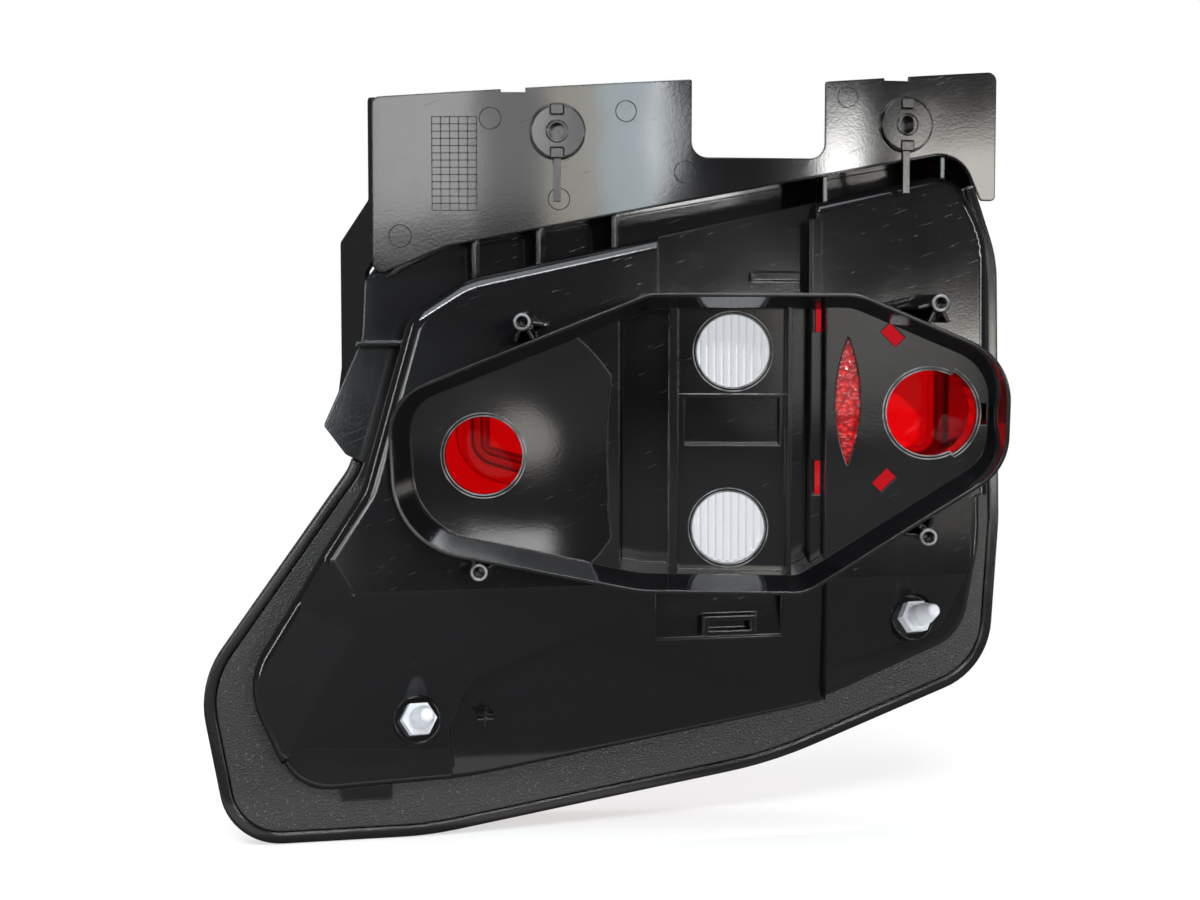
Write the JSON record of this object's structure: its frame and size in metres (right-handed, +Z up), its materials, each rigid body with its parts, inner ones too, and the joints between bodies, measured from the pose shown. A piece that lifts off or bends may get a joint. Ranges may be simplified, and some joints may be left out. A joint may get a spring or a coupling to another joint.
{
  "type": "tail light cluster",
  "caption": "Car tail light cluster: black moulded housing with a bulb carrier well, trim flange and locating pins, closed in front by a red lens with a clear section.",
  "frame": {"origin": "centre of the round screw hole in the trim flange, on the rear face of its boss", "axes": "+X to the right seen from the back of the lamp, +Z up, +Y from the back towards the lens"},
  "size_m": [0.3646, 0.1413, 0.3462],
  "materials": {
    "black_plastic": "glossy black moulding",
    "red_lens": "clear red acrylic",
    "clear_lens": "clear acrylic with flutes",
    "seal": "matt bead",
    "bright": "metallised plastic",
    "red_optic": "red acrylic with steps",
    "red_reflex": "red reflex plastic",
    "white_nylon": "white nylon",
    "black_cap": "satin black"
  },
  "bodies": {
    "root": {"housing": "black_plastic", "bulb_well": "black_plastic", "tail_bay": "black_plastic", "centre_bay": "black_plastic", "fog_bay": "black_plastic", "trim_flange": "black_plastic", "outer_lens": "red_lens", "clear_lens": "clear_lens", "lens_seal": "seal", "tail_reflector": "bright", "turn_reflector": "bright", "reverse_reflector": "bright", "fog_reflector": "bright", "tail_inner_optic": "red_optic", "fog_inner_optic": "red_optic", "reflex_reflector": "red_reflex", "locating_pin_left": "white_nylon", "locating_pin_right": "white_nylon", "screw_cap_round": "black_cap", "screw_cap_slot": "black_cap"}
  },
  "joints": []
}
